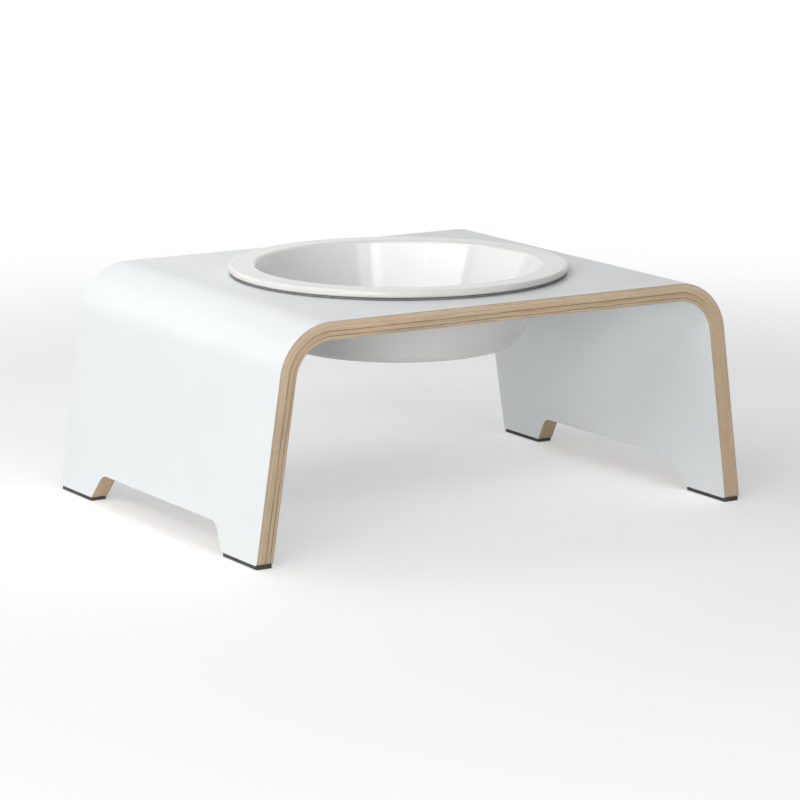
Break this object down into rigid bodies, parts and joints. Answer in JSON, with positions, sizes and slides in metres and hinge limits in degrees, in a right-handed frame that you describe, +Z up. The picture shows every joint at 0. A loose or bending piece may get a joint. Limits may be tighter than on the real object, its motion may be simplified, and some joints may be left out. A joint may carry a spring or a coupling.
{
  "type": "dog feeder stand",
  "caption": "Free-standing pet feeder: a bridge of moulded plywood with splayed legs, white laminate faces and exposed ply edges, holding a round lift-out ceramic bowl in its top.",
  "frame": {"origin": "on the floor, under the middle of the bowl", "axes": "+X across the stand from the left leg to the right leg, +Y from front to back, +Z up"},
  "size_m": [0.3672, 0.27, 0.1567],
  "materials": {
    "white_laminate": "satin",
    "long_grain_veneer": "sanded and oiled edge",
    "cross_grain_veneer": "sanded and oiled edge",
    "grey_rubber": "matte",
    "white_glaze": "gloss"
  },
  "bodies": {
    "stand": {"outer_laminate": "white_laminate", "outer_face_veneer": "long_grain_veneer", "outer_cross_veneer": "cross_grain_veneer", "outer_core_veneer": "long_grain_veneer", "middle_cross_veneer": "cross_grain_veneer", "inner_core_veneer": "long_grain_veneer", "inner_cross_veneer": "cross_grain_veneer", "inner_face_veneer": "long_grain_veneer", "inner_laminate": "white_laminate", "front_left_pad": "grey_rubber", "front_right_pad": "grey_rubber", "back_left_pad": "grey_rubber", "back_right_pad": "grey_rubber"},
    "ring": {"bowl_ring": "grey_rubber"},
    "bowl": {"bowl": "white_glaze"}
  },
  "joints": [
    {"name": "bowl_lift", "type": "slide", "parent": "stand", "child": "ring", "axis": [0, 0, 1], "range_m": [0, 0.08]},
    {"name": "bowl_turn", "type": "hinge", "parent": "ring", "child": "bowl", "pos_m": [0, 0, 0.1521], "axis": [0, 0, 1], "continuous": true}
  ]
}
